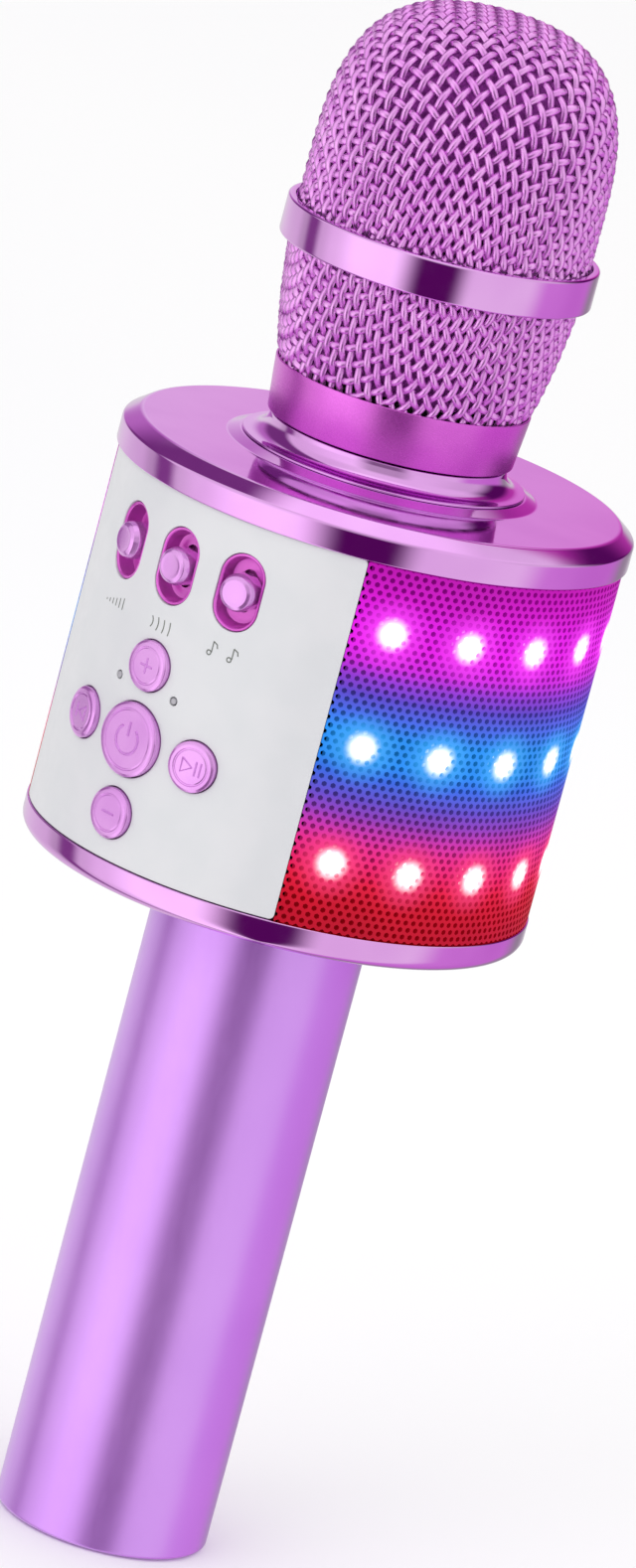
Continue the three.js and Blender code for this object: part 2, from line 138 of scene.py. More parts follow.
def make_camera():
    data = bpy.data.cameras.new("camera")
    data.sensor_fit = "AUTO"
    data.sensor_width = SENSOR
    data.lens = LENS
    data.clip_start, data.clip_end = 0.01, 100
    camera = linked("camera", data)
    back = direction(CAMERA_AZIMUTH, CAMERA_ELEVATION)
    aim = Vector((0, 0, CAMERA_AIM_Z)) + UP.cross(back).normalized() * CAMERA_AIM_RIGHT
    roll = Matrix.Rotation(math.radians(CAMERA_ROLL), 4, "Z")
    camera.matrix_world = Matrix.Translation(aim + back * CAMERA_DISTANCE) @ looking_back(back) @ roll
    bpy.context.scene.camera = camera


# ---- materials ---------------------------------------------------------------------------------------
def linear(c):
    return ((c / 255 + 0.055) / 1.055) ** 2.4 if c > 10 else c / 255 / 12.92


def srgb(r, g, b):
    """A display colour from 0 to 255 as the linear colour that shaders take."""
    return linear(r), linear(g), linear(b), 1.0


class Nodes:
    """Short names for the nodes of a material or a world."""

    def __init__(self, tree):
        self.tree = tree

    def wire(self, value, socket):
        """Puts a number, a colour or the output of another node into a socket."""
        if isinstance(value, (int, float, tuple)):
            socket.default_value = value
        else:
            self.tree.links.new(value, socket)

    def math(self, operation, *values):
        node = self.tree.nodes.new("ShaderNodeMath")
        node.operation = operation
        for value, socket in zip(values, node.inputs):
            self.wire(value, socket)
        return node.outputs[0]

    def split(self, vector):
        node = self.tree.nodes.new("ShaderNodeSeparateXYZ")
        self.wire(vector, node.inputs[0])
        return node.outputs

    def azimuth(self, x, y):
        """The angle in radians, 0 facing -Y."""
        return self.math("ARCTAN2", x, self.math("MULTIPLY", y, -1.0))

    def ramp(self, factor, start, end, first, last, smooth=True):
        """first below start and last above end."""
        node = self.tree.nodes.new("ShaderNodeMapRange")
        if smooth:
            node.interpolation_type = "SMOOTHSTEP"
        for name, value in zip(("From Min", "From Max", "To Min", "To Max"), (start, end, first, last)):
            node.inputs[name].default_value = value
        self.wire(factor, node.inputs["Value"])
        return node.outputs["Result"]

    def mix(self, factor, first, last):
        """A colour between first and last, each a colour or a socket."""
        node = self.tree.nodes.new("ShaderNodeMix")
        node.data_type = "RGBA"
        for value, socket in ((factor, "Factor"), (first, 6), (last, 7)):
            self.wire(value, node.inputs[socket])
        return node.outputs[2]

    def stops(self, factor, stops, interpolation="LINEAR"):
        """A colour from stops of (place, colour), at places from 0 to 1."""
        node = self.tree.nodes.new("ShaderNodeValToRGB")
        node.color_ramp.interpolation = interpolation
        self.wire(factor, node.inputs["Fac"])
        elements = node.color_ramp.elements
        last = len(stops) - 1
        for i, (place, colour) in enumerate(stops):
            element = elements.new(place) if 0 < i < last else elements[0 if i == 0 else -1]
            element.position = place
            element.color = colour
        return node.outputs["Color"]


class Surface(Nodes):
    """A Principled material with the nodes that vary it."""

    def __init__(self, name, colour, roughness, **sockets):
        self.material = bpy.data.materials.new(name)
        self.material.use_nodes = True
        super().__init__(self.material.node_tree)
        self.shader = self.tree.nodes["Principled BSDF"]
        self.colour = colour
        self.set("Base Color", colour)
        self.set("Roughness", roughness)
        for socket, value in sockets.items():
            self.set(socket.replace("_", " "), value)
        self.place = self.tree.nodes.new("ShaderNodeTexCoord").outputs["Object"]

    def set(self, socket, value):
        self.wire(value, self.shader.inputs[socket])

    def noise(self, size, detail=2.0, stretch=(1, 1, 1)):
        """Noise whose lumps are about size metres across."""
        place = self.place
        if stretch != (1, 1, 1):
            mapping = self.tree.nodes.new("ShaderNodeMapping")
            mapping.inputs["Scale"].default_value = stretch
            self.wire(place, mapping.inputs["Vector"])
            place = mapping.outputs["Vector"]
        node = self.tree.nodes.new("ShaderNodeTexNoise")
        for name, value in (("Scale", 1 / size), ("Detail", detail), ("Vector", place)):
            self.wire(value, node.inputs[name])
        return node.outputs["Fac"]

    def tint(self, size, darker, spread=0.18):
        """The base colour drifts towards a darker shade in soft patches."""
        factor = self.ramp(self.noise(size), 0.5 - spread, 0.5 + spread, 0.0, 1.0)
        self.set("Base Color", self.mix(factor, self.colour, darker))
        return self

    def rough(self, size, least, most, stretch=(1, 1, 1)):
        self.set("Roughness", self.ramp(self.noise(size, 3.0, stretch), 0.3, 0.7, least, most))
        return self

    def grain(self, size, height, detail=3.0, stretch=(1, 1, 1)):
        """A fine relief, height metres deep."""
        node = self.tree.nodes.new("ShaderNodeBump")
        node.inputs["Distance"].default_value = height
        node.inputs["Strength"].default_value = 1.0
        self.wire(self.noise(size, detail, stretch), node.inputs["Height"])
        self.set("Normal", node.outputs["Normal"])
        return self


def anodised():
    s = Surface("anodised_lavender", srgb(216, 157, 244), 0.3, Metallic=0.7, Coat_Weight=0.35,
                Coat_Roughness=0.25)
    s.tint(30 * MM, srgb(210, 149, 240))
    s.rough(0.6 * MM, 0.29, 0.34, (1, 1, 0.2))
    return s.grain(0.12 * MM, 0.0012 * MM).material


def plated(name, colour, shade, roughness=0.07):
    s = Surface(name, colour, roughness, Metallic=1.0)
    s.tint(14 * MM, shade)
    s.rough(3 * MM, roughness * 0.8, roughness * 1.5)
    return s.grain(4 * MM, 0.004 * MM, 1.0).material


def satin_collar():
    s = Surface("satin_collar", srgb(226, 112, 222), 0.3, Metallic=0.85, Coat_Weight=0.2, Coat_Roughness=0.3)
    s.tint(10 * MM, srgb(216, 98, 214))
    s.rough(0.4 * MM, 0.26, 0.34, (1, 1, 4))
    return s.grain(0.1 * MM, 0.0015 * MM).material


def woven_wire():
    s = Surface("woven_wire", srgb(238, 170, 240), 0.28, Metallic=0.88, Coat_Weight=0.1, Coat_Roughness=0.3)
    s.tint(3 * MM, srgb(226, 146, 230))
    s.rough(0.5 * MM, 0.24, 0.33)
    return s.grain(0.15 * MM, 0.003 * MM).material


def moulded(name, colour, shade, roughness=0.42, size=0.35 * MM, height=0.004 * MM, **sockets):
    s = Surface(name, colour, roughness, **sockets)
    s.tint(9 * MM, shade)
    s.rough(2 * MM, roughness * 0.85, roughness * 1.15)
    return s.grain(size, height).material


def foam():
    s = Surface("foam", srgb(196, 76, 204), 0.95, Sheen_Weight=0.3, Sheen_Roughness=0.6)
    s.tint(1.2 * MM, srgb(152, 46, 160), 0.12)
    return s.grain(0.5 * MM, 0.25 * MM, 4.0).material


def brushed(name, colour, roughness=0.28):
    s = Surface(name, colour, roughness, Metallic=1.0)
    s.rough(0.3 * MM, roughness * 0.7, roughness * 1.5, (1, 1, 8))
    return s.grain(0.2 * MM, 0.003 * MM, 2.0, (1, 1, 8)).material


# colours of the glow painted up the barrel, by height in millimetres
GLOW = [
    (111.0, (186, 4, 16)), (116.0, (208, 8, 24)), (119.0, (230, 20, 52)), (121.5, (238, 28, 100)),
    (124.5, (238, 42, 140)), (127.0, (204, 50, 172)), (129.5, (145, 62, 190)), (132.0, (100, 76, 204)),
    (135.5, (52, 108, 234)), (138.0, (26, 144, 248)), (142.0, (26, 148, 248)), (145.0, (66, 108, 234)),
    (148.0, (92, 72, 206)), (150.5, (146, 58, 214)), (153.0, (214, 40, 230)), (156.0, (238, 25, 240)),
    (160.0, (232, 22, 235)), (163.5, (212, 14, 204)), (167.7, (190, 8, 176)),
]
HALO = [(255, 70, 255), (70, 180, 255), (255, 70, 130)]


WHITE = (1.0, 1.0, 1.0, 1.0)
# reach and strength of the painted halos and white cores round each lamp
HALO_START, HALO_END = 1.5 * MM, 6.5 * MM
HALO_TINT = 0.75
CORE_LIGHT = 0.6


def lit(name, base, floor_light, core_start, core_end):
    """Plastic that is no lamp, painted with the glow of the three rows of lamps behind it as emission: at
    each lamp a painted white core, which fades from core_start to core_end away from it, in a painted halo of
    its row's colour, over bands that blend from row to row. floor_light is the painted glow away from the
    lamps."""
    s = Surface(name, base, 0.5, Specular_IOR_Level=0.12)
    x, y, z = s.split(s.place)
    step = math.radians(LED_STEP_DEG)
    turns = s.math("DIVIDE", s.azimuth(x, y), step)
    # a lamp is at azimuth 180 degrees, and the others lie evenly to both sides of it
    turns = s.math("SUBTRACT", s.math("ABSOLUTE", turns), math.pi / step)
    across = s.math("SUBTRACT", s.math("FRACT", s.math("ADD", turns, 20.5)), 0.5)
    across = s.math("MULTIPLY", across, step * SHELL_R)

    lowest, highest = GLOW[0][0], GLOW[-1][0]
    height = s.ramp(z, lowest * MM, highest * MM, 0.0, 1.0, smooth=False)
    colour = s.stops(height, [((level - lowest) / (highest - lowest), srgb(*shade)) for level, shade in GLOW])
    # painted glow away from the lamps, mottled
    light = s.math("MULTIPLY", s.ramp(s.noise(7 * MM), 0.3, 0.7, 0.94, 1.04), floor_light)
    cores = 0.0
    for row_z, shade in zip(LED_ROWS, HALO):
        dz = s.math("SUBTRACT", z, row_z)
        reach = s.math("SQRT", s.math("ADD", s.math("POWER", across, 2.0), s.math("POWER", dz, 2.0)))
        halo = s.ramp(reach, HALO_START, HALO_END, 1.0, 0.0)
        colour = s.mix(s.math("MULTIPLY", halo, HALO_TINT), colour, srgb(*shade))
        light = s.math("ADD", light, s.math("MULTIPLY", halo, 1.0 - floor_light))
        cores = s.math("ADD", cores, s.ramp(reach, core_start, core_end, 1.0, 0.0))
    cores = s.math("MINIMUM", cores, 1.0)
    # the painted glow and white cores, given as emission
    s.set("Emission Color", s.mix(cores, colour, WHITE))
    s.set("Emission Strength", s.math("ADD", light, s.math("MULTIPLY", cores, CORE_LIGHT)))
    s.rough(1.5 * MM, 0.42, 0.56)
    return s.grain(0.3 * MM, 0.004 * MM).material


def make_materials():
    return {
        "handle": anodised(),
        "chrome": plated("purple_chrome", srgb(228, 172, 234), srgb(222, 162, 229)),
        "collar": satin_collar(),
        "wire": woven_wire(),
        "foam": foam(),
        "panel": moulded("panel_white", srgb(211, 211, 214), srgb(207, 208, 211), 0.36, Coat_Weight=0.12),
        "mark": moulded("printed_grey", srgb(120, 124, 118), srgb(104, 108, 103), 0.5),
        "button": moulded("lilac_plating", srgb(226, 162, 232), srgb(216, 148, 224), 0.16, Metallic=0.75,
                          Coat_Weight=0.35, Coat_Roughness=0.1),
        # darker than the keys: painted shade along the signs, which are the keys' own colour
        "icon": moulded("lilac_icon", srgb(212, 140, 222), srgb(200, 126, 212), 0.3, Metallic=0.5),
        "cone": moulded("speaker_cone", srgb(34, 32, 36), srgb(26, 24, 28), 0.7),
        "well": moulded("magenta_plating", srgb(224, 104, 212), srgb(210, 84, 196), 0.2, Metallic=0.5,
                        Coat_Weight=0.4, Coat_Roughness=0.1),
        # painted glow on the grille sheet, its hole walls and the diffuser, none of them a lamp; the hole
        # walls and the diffuser glow dimmer and darker, a painted shade in the holes
        "sleeve": lit("lit_sleeve", srgb(30, 8, 36), 0.98, 1.0 * MM, 3.1 * MM),
        "sleeve_side": lit("lit_hole_walls", srgb(16, 3, 24), 0.42, 0.9 * MM, 3.0 * MM),
        "diffuser": lit("lit_diffuser", srgb(16, 4, 20), 0.32, 1.0 * MM, 3.0 * MM),
        "lens": moulded("clear_lens", srgb(168, 166, 172), srgb(150, 148, 156), 0.15, Coat_Weight=0.6),
        "black": moulded("black_plastic", srgb(30, 30, 33), srgb(24, 24, 27), 0.48),
        "gasket": moulded("dark_thread", srgb(46, 40, 50), srgb(36, 32, 40), 0.35),
        "steel": brushed("plain_steel", srgb(188, 190, 196)),
        "nickel": brushed("nickel_shell", srgb(200, 200, 204), 0.22),
        "gold": brushed("gold_contact", srgb(226, 186, 96), 0.2),
        "board": moulded("board_green", srgb(38, 92, 58), srgb(28, 76, 46), 0.3, 0.8 * MM, 0.01 * MM),
        "strip": moulded("led_strip_white", srgb(236, 236, 240), srgb(224, 224, 230), 0.4),
        "wrap": moulded("cell_wrap", srgb(62, 98, 170), srgb(52, 86, 156), 0.25, Coat_Weight=0.4),
        "rubber": moulded("wire_rubber", srgb(26, 26, 28), srgb(20, 20, 22), 0.6),
    }


# ---- mesh helpers --------------------------------------------------------------------------------------
def rounded(points, segments=6):
    """An outline from points (r, z) or (r, z, fillet), in millimetres, with its fillets as arcs."""
    out = []
    count = len(points)
    for i, point in enumerate(points):
        corner = Vector(point[:2])
        if len(point) < 3 or not 0 < i < count - 1:
            out.append(corner)
            continue
        before = (Vector(points[i - 1][:2]) - corner).normalized()
        after = (Vector(points[i + 1][:2]) - corner).normalized()
        half = before.angle(after) / 2
        reach = point[2] / math.tan(half)
        centre = corner + (before + after).normalized() * (point[2] / math.sin(half))
        start, end = corner + before * reach - centre, corner + after * reach - centre
        sweep = math.atan2(start.x * end.y - start.y * end.x, start.dot(end))
        for k in range(segments + 1):
            a = sweep * k / segments
            c, s = math.cos(a), math.sin(a)
            out.append(centre + Vector((start.x * c - start.y * s, start.x * s + start.y * c)))
    return [(p.x * MM, p.y * MM) for p in out]


class Build:
    """Gathers vertices and faces for one piece."""

    def __init__(self):
        self.points = []
        self.faces = []

    def add(self, points, faces, matrix=None):
        base = len(self.points)
        if matrix is not None:
            points = [matrix @ Vector(p) for p in points]
        self.points.extend(tuple(p) for p in points)
        self.faces.extend(tuple(base + i for i in face) for face in faces)
        return self

    def turned(self, outline, segments=128, closed=False, matrix=None):
        """Turns an outline of (r, z) about Z. An open one starts and ends on the axis."""
        points, rings = [], []
        for r, z in outline:
            if r < 1e-7:
                rings.append([len(points)] * segments)
                points.append((0, 0, z))
                continue
            rings.append(list(range(len(points), len(points) + segments)))
            for i in range(segments):
                a = TAU * i / segments
                points.append((r * math.sin(a), -r * math.cos(a), z))
        if closed:
            rings.append(rings[0])
        faces = []
        for one, two in zip(rings, rings[1:]):
            for i in range(segments):
                j = (i + 1) % segments
                face = (one[i], one[j], two[j], two[i])
                unique = tuple(dict.fromkeys(face))
                if len(unique) > 2:
                    faces.append(unique)
        return self.add(points, faces, matrix)

    def prism(self, outline, bottom, top, matrix=None):
        """A straight solid on an outline of (x, y) from height bottom to top."""
        count = len(outline)
        points = [(x, y, z) for z in (bottom, top) for x, y in outline]
        faces = [(k, (k + 1) % count, count + (k + 1) % count, count + k) for k in range(count)]
        ends = [tuple(range(count - 1, -1, -1)), tuple(range(count, 2 * count))]
        return self.add(points, faces + ends, matrix)

    def bead(self, path, r, sides=8):
        """A round bead along a path of points, none of it upright."""
        path = [Vector(p) for p in path]
        last = len(path) - 1
        points, faces = [], []
        for i, here in enumerate(path):
            along = (path[min(i + 1, last)] - path[max(i - 1, 0)]).normalized()
            side = along.cross(UP).normalized()
            top = side.cross(along)
            for k in range(sides):
                a = TAU * k / sides
                points.append(here + (side * math.cos(a) + top * math.sin(a)) * r)
        for i in range(last):
            for k in range(sides):
                n = (k + 1) % sides
                faces.append((i * sides + k, i * sides + n, (i + 1) * sides + n, (i + 1) * sides + k))
        faces.append(tuple(range(sides - 1, -1, -1)))
        faces.append(tuple(range(last * sides, (last + 1) * sides)))
        return self.add(points, faces)

    def loft(self, loops, matrix=None, closed=True):
        """Joins loops of equal length with quads; closed joins the last to the first."""
        size = len(loops[0])
        points = [p for loop in loops for p in loop]
        faces = []
        pairs = [(i, i + 1) for i in range(len(loops) - 1)]
        if closed:
            pairs.append((len(loops) - 1, 0))
        for one, two in pairs:
            for k in range(size):
                n = (k + 1) % size
                faces.append((one * size + k, one * size + n, two * size + n, two * size + k))
        return self.add(points, faces, matrix)

    def object(self, name, material, sharp_deg=35):
        mesh = bpy.data.meshes.new(name)
        mesh.from_pydata(self.points, [], self.faces)
        return finished(name, mesh, material, sharp_deg)


def smoothed(mesh, sharp_deg=35):
    mesh.polygons.foreach_set("use_smooth", [True] * len(mesh.polygons))
    mesh.set_sharp_from_angle(angle=math.radians(sharp_deg))


def finished(name, mesh, material, sharp_deg=35):
    """A shown object from a mesh, with its faces turned outwards and its edges smoothed."""
    bm = bmesh.new()
    bm.from_mesh(mesh)
    bmesh.ops.recalc_face_normals(bm, faces=bm.faces)
    bm.to_mesh(mesh)
    bm.free()
    smoothed(mesh, sharp_deg)
    mesh.materials.clear()
    mesh.materials.append(material)
    return linked(name, mesh)


def piece(obj, body, slot, *replaced):
    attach(obj, body)
    if replaced:
        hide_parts(*replaced)
    return obj


def on_barrel(azimuth, z):
    """Local +Z points out of the barrel, +Y up."""
    out = direction(azimuth)
    across = UP.cross(out)
    return Matrix.Translation((0, 0, z)) @ Matrix((across, UP, out)).transposed().to_4x4()


def cut(obj, cutters):
    """Subtracts meshes from obj for good."""
    for cutter in cutters:
        modifier = obj.modifiers.new("cut", "BOOLEAN")
        modifier.operation = "DIFFERENCE"
        modifier.solver = "EXACT"
        modifier.object = cutter
    mesh = bpy.data.meshes.new_from_object(obj.evaluated_get(bpy.context.evaluated_depsgraph_get()))
    obj.modifiers.clear()
    old, obj.data = obj.data, mesh
    bpy.data.meshes.remove(old)
    smoothed(mesh)
    for cutter in cutters:
        bpy.data.meshes.remove(cutter.data)


def rod(r, z0, z1, x=0.0, y=0.0, sides=40):
    build = Build().turned([(0, z0), (r, z0), (r, z1), (0, z1)], sides, matrix=Matrix.Translation((x, y, 0)))
    return build.object("cutter", None)


def slab(x0, x1, y0, y1, z0, z1):
    return Build().prism([(x0, y0), (x1, y0), (x1, y1), (x0, y1)], z0, z1).object("cutter", None)


# ---- lathe pieces --------------------------------------------------------------------------------------
ROUND = 160
FINE_ROUND = 192


def lathe(name, outline, material, body, slot, *replaced, segments=ROUND, closed=True, fillet_steps=6):
    build = Build().turned(rounded(outline, fillet_steps), segments, closed)
    return piece(build.object(name, material), body, slot, *replaced)


def make_handle(mats):
    top = high("handle_tube").z / MM
    lathe("handle_shell", [(15.1, top), (15.1, 0.2, 0.1), (16.8, 0.2, 0.8), (16.8, top)], mats["handle"],
          ROOT, "handle_aluminium", "handle_tube", fillet_steps=10)
    plug = [(0, 0.5), (5.0, 0.5, 0.2), (5.6, 0, 0.2), (12.0, 0, 0.2), (12.5, 0.5, 0.15), (13.1, 0.5, 0.15),
            (13.6, 0, 0.2),
            (14.8, 0, 0.4), (14.8, 9), (0, 9)]
    end = Build().turned(rounded(plug), 128).object("handle_end_plug", mats["black"])
    cut(end, [slab(-4.6 * MM, 4.6 * MM, -0.8 * MM, 0.8 * MM, -1 * MM, 1.5 * MM)])
    piece(end, ROOT, "black_plastic", "handle_plug")


def make_caps(mats):
    bottom = [(17.1, 121), (17.1, 106.5, 0.3), (39.6, 106.5, 1.9), (39.6, 110.85, 0.2), (35.6, 110.85),
              (35.6, 109.2), (19.6, 109.2), (19.6, 121)]
    cap = Build().turned(rounded(bottom, 10), ROUND, closed=True).object("barrel_bottom_ring", mats["chrome"])
    cutters = []
    for name in ("usb_port", "card_slot"):
        lo, hi = low(name), high(name)
        cutters.append(slab(lo.x - GAP, hi.x + GAP, lo.y - GAP, hi.y + GAP, 0.1, 0.112))
    lo, hi = low("aux_socket"), high("aux_socket")
    cutters.append(rod((hi.x - lo.x) / 2 + GAP, 0.1, 0.112, 0, (lo.y + hi.y) / 2))
    for i in (1, 2, 3):
        lo, hi = low(f"chassis_screw_{i}"), high(f"chassis_screw_{i}")
        x, y = (lo.x + hi.x) / 2, (lo.y + hi.y) / 2
        cutters.append(rod(2.9 * MM, 0.1, 108.2 * MM, x, y))
        cutters.append(rod(1.5 * MM, 0.1, 0.112, x, y, 24))
    cut(cap, cutters)
    piece(cap, ROOT, "purple_chrome", "bottom_cap")

    top = [(15.7, 171), (15.7, 174.4, 0.2), (22.3, 174.4, 1.0), (24.2, 173.6, 1.0), (37.5, 173.6, 1.3),
           (40, 171.75, 0.7), (40, 167.95, 0.25), (35.6, 167.95), (35.6, 171)]
    lathe("barrel_top_ring", top, mats["chrome"], ROOT, "purple_chrome", "top_cap", segments=FINE_ROUND)
    neck = [(15.7, 174.45), (22.1, 174.45, 0.1), (22.1, 174.8, 0.15), (18.7, 175.0, 2.8), (18.5, 178.1, 0.2),
            (15.7, 178.1)]
    lathe("neck_flange", neck, mats["chrome"], ROOT, "purple_chrome", "neck_ring")
    cup = [(15.9, 178.45), (19.15, 178.45, 0.3), (19.85, 185.9, 2.0), (19.9, 186.7, 0.12),
           (19.55, 186.7, 0.1), (19.5, 185.8, 0.1), (18.3, 185.5), (18.3, 178.9), (15.9, 178.9)]
    lathe("head_cup_ring", cup, mats["collar"], HEAD, "collar_satin", "head_collar")
    belt = [(23.15, 205.1, 0.1), (24.25, 205.1, 0.4), (24.25, 211.1, 0.4), (23.15, 211.1, 0.1)]
    lathe("head_belt", belt, mats["chrome"], HEAD, "purple_chrome", "head_band", segments=FINE_ROUND)


def make_neck_thread(mats):
    """The neck's tube with a screw thread; the head comes off it."""
    core, crest, pitch = 14.85, 15.38, 1.5
    tube = [(12.6, 168.2), (19.5, 168.2, 0.2), (19.5, 170.7, 0.2), (core, 170.7), (core, 188, 0.4),
            (12.6, 188)]
    build = Build().turned(rounded(tube), 96, closed=True)
    steps, start, turns = 64, 179.6, 5
    loops = []
    for i in range(steps * turns + 1):
        a = TAU * i / steps
        z = start + pitch * i / steps
        grow = min(1.0, i / 20, (steps * turns - i) / 20)
        tall = (crest - core + 0.1) * grow
        loop = []
        for dr, dz in ((0, -0.5), (tall, -0.16), (tall, 0.16), (0, 0.5)):
            r = core - 0.1 + dr
            loop.append((r * math.sin(a) * MM, -r * math.cos(a) * MM, (z + dz * (0.3 + 0.7 * grow)) * MM))
        loops.append(loop)
    build.loft(loops, closed=False)
    last = len(build.points)
    build.faces.append((last - 4, last - 3, last - 2, last - 1))
    build.faces.append(tuple(last - len(loops) * 4 + k for k in (3, 2, 1, 0)))
    piece(build.object("neck_thread", mats["gasket"]), ROOT, "black_plastic", "neck_spigot")


# ---- woven head ----------------------------------------------------------------------------------------
DOME_PITCH = 2.6 * MM
CONE_PITCH = 2.68 * MM
WIRE_R = 0.54 * MM
WAVE = 0.42 * MM
CROWN = 18 * MM
CROWN_STRETCH = 0.17


def dome_outline(inset, low_z, steps=40):
    """Points (r, z) from the pole down to low_z; a straight skirt under a squared-off round top."""
    skirt, power = 216.8 * MM, 2.95
    height, r = DOME_TOP - inset - skirt, MESH_R - inset
    points = []
    for i in range(steps + 1):
        a = math.pi / 2 * (1 - i / steps)
        up = math.sin(a)
        points.append((r * (1 - up ** power) ** (1 / power) if i else 0.0, skirt + height * up))
    return points + [(r, low_z)]


def cone_outline(inset, steps=24):
    """Points (r, z) from the collar up to the belt."""
    z = np.array([186.2, 187.0, 188.0, 191.0, 196.0, 201.0, 205.0, 208.0])
    r = np.array([19.4, 19.62, 20.2, 20.9, 21.8, 22.4, 22.85, 22.85])
    out = []
    for k in range(steps + 1):
        height = CONE_LOW / MM + (CONE_HIGH - CONE_LOW) / MM * k / steps
        out.append((float(np.interp(height, z, r)) * MM - inset, height * MM))
    return out


def weave(name, outline, rho_start, turn_deg, pitch, stretch, pressed, material, node):
    """Wires over and under each other. A flat square weave is wrapped on the outline so that distance from
    its centre becomes distance along the outline. The outline starts at distance rho_start, and its first
    CROWN is stretched by the factor stretch, as the sheet is where it is drawn into a dome. Over the length
    pressed from its start the wires lie flat, as they do where a collar grips them."""
    outline = np.array(outline)
    lengths = np.hypot(*np.diff(outline, axis=0).T)
    along = np.concatenate([[0], np.cumsum(lengths)])
    loose = np.clip(along / pressed, 0, 1) if pressed else np.ones_like(along)
    outline[:, 0] += WAVE * (1 - loose)
    rho = rho_start + along + stretch * np.minimum(along, CROWN)
    slope = np.gradient(outline, rho, axis=0)
    slope /= np.hypot(*slope.T)[:, None]
    out_r, out_z = np.abs(slope[:, 1]), slope[:, 0] * np.sign(-slope[:, 1])
    first, last = rho[0], rho[-1]
    turn = math.radians(turn_deg)
    points, faces = [], []
    count = 0
    sides = 6

    def wire(family, i, t0, t1):
        nonlocal count
        step = pitch / 4
        inner = np.arange(math.ceil(t0 / step + 0.2), math.floor(t1 / step - 0.2) + 1) * step
        t = np.concatenate([[t0], inner, [t1]])
        if len(t) < 3:
            return
        c = np.full_like(t, (i + 0.5) * pitch)
        x, y = (c, t) if family == 0 else (t, c)
        x, y = x * math.cos(turn) - y * math.sin(turn), x * math.sin(turn) + y * math.cos(turn)
        distance = np.hypot(x, y)
        wave = WAVE * np.cos(math.pi * (t / pitch - 0.5)) * (-1) ** (i + family)
        wave *= np.interp(distance, rho, loose)
        nr, nz = np.interp(distance, rho, out_r), np.interp(distance, rho, out_z)
        r = np.interp(distance, rho, outline[:, 0]) + nr * wave
        z = np.interp(distance, rho, outline[:, 1]) + nz * wave
        ux, uy = x / np.maximum(distance, 1e-9), y / np.maximum(distance, 1e-9)
        centre = np.stack([r * ux, r * uy, z], 1)
        normal = np.stack([nr * ux, nr * uy, nz], 1)
        tangent = np.gradient(centre, axis=0)
        tangent /= np.linalg.norm(tangent, axis=1)[:, None]
        normal -= tangent * (normal * tangent).sum(1)[:, None]
        normal /= np.linalg.norm(normal, axis=1)[:, None]
        side = np.cross(tangent, normal)
        for k in range(sides):
            a = TAU * (k + 0.5) / sides
            points.append((centre + (normal * math.cos(a) + side * math.sin(a)) * WIRE_R, count, k))
        for m in range(len(t) - 1):
            base = count + m * sides
            for k in range(sides):
                n = (k + 1) % sides
                faces.append((base + k, base + n, base + sides + n, base + sides + k))
        faces.append(tuple(count + k for k in range(sides - 1, -1, -1)))
        end = count + (len(t) - 1) * sides
        faces.append(tuple(end + k for k in range(sides)))
        count += len(t) * sides

    most = int(last / pitch) + 1
    for family in (0, 1):
        for i in range(-most, most):
            c = abs((i + 0.5) * pitch)
            if c >= last - WIRE_R:
                continue
            far = math.sqrt(last ** 2 - c ** 2)
            if c < first:
                near = math.sqrt(first ** 2 - c ** 2)
                wire(family, i, near, far)
                wire(family, i, -far, -near)
            else:
                wire(family, i, -far, far)
    spots = np.zeros((count, 3))
    for ring_points, start, k in points:
        spots[start + k:start + k + len(ring_points) * sides:sides] = ring_points
    mesh = bpy.data.meshes.new(name)
    mesh.from_pydata(spots.tolist(), [], faces)
    obj = finished(name, mesh, material, 60)
    return piece(obj, HEAD, "head_mesh", node)


def make_head(mats):
    depth = WAVE + WIRE_R
    dome, cone = dome_outline(depth, DOME_LOW), cone_outline(depth)
    weave("dome_weave", dome, 0.0, 0.0, DOME_PITCH, CROWN_STRETCH, 0.0, mats["wire"], "head_dome_mesh")
    weave("cone_weave", cone, 31.5 * MM, 5.0, CONE_PITCH, 0.0, 1.8 * MM, mats["wire"], "head_cone_mesh")
    make_foam(mats)


FOAM_WALL = 3.2 * MM
FOAM_BORE = 17.4 * MM
FOAM_FACET = 1.3 * MM
LUMP, SMALL_LUMP = 1.1 * MM, 0.55 * MM


def make_foam(mats):
    inset = 2 * (WAVE + WIRE_R) + 0.25 * MM
    bottom = low("foam_liner").z
    outside = [(r, z) for r, z in cone_outline(inset) if bottom + 0.5 * MM < z < DOME_LOW]
    outside = [(outside[0][0], bottom)] + outside
    shell = dome_outline(inset, DOME_LOW, 30)[::-1]
    hollow = [(min(max(r - FOAM_WALL, 0), FOAM_BORE), z) for r, z in outside]
    hollow += dome_outline(inset + FOAM_WALL, DOME_LOW, 24)[::-1]
    outline = hollow[::-1] + outside + shell
    dense = []
    for (r0, z0), (r1, z1) in zip(outline, outline[1:]):
        parts = max(1, math.ceil(math.hypot(r1 - r0, z1 - z0) / FOAM_FACET))
        dense += [(r0 + (r1 - r0) * k / parts, z0 + (z1 - z0) * k / parts) for k in range(parts)]
    dense.append(outline[-1])
    obj = Build().turned(dense, 112).object("foam_windscreen", mats["foam"], 70)
    for vertex in obj.data.vertices:
        lump = noise.noise(vertex.co / LUMP) + 0.5 * noise.noise(vertex.co / SMALL_LUMP)
        vertex.co -= vertex.normal * (0.12 * MM + 0.1 * MM * lump)
    piece(obj, HEAD, "foam", "foam_liner")


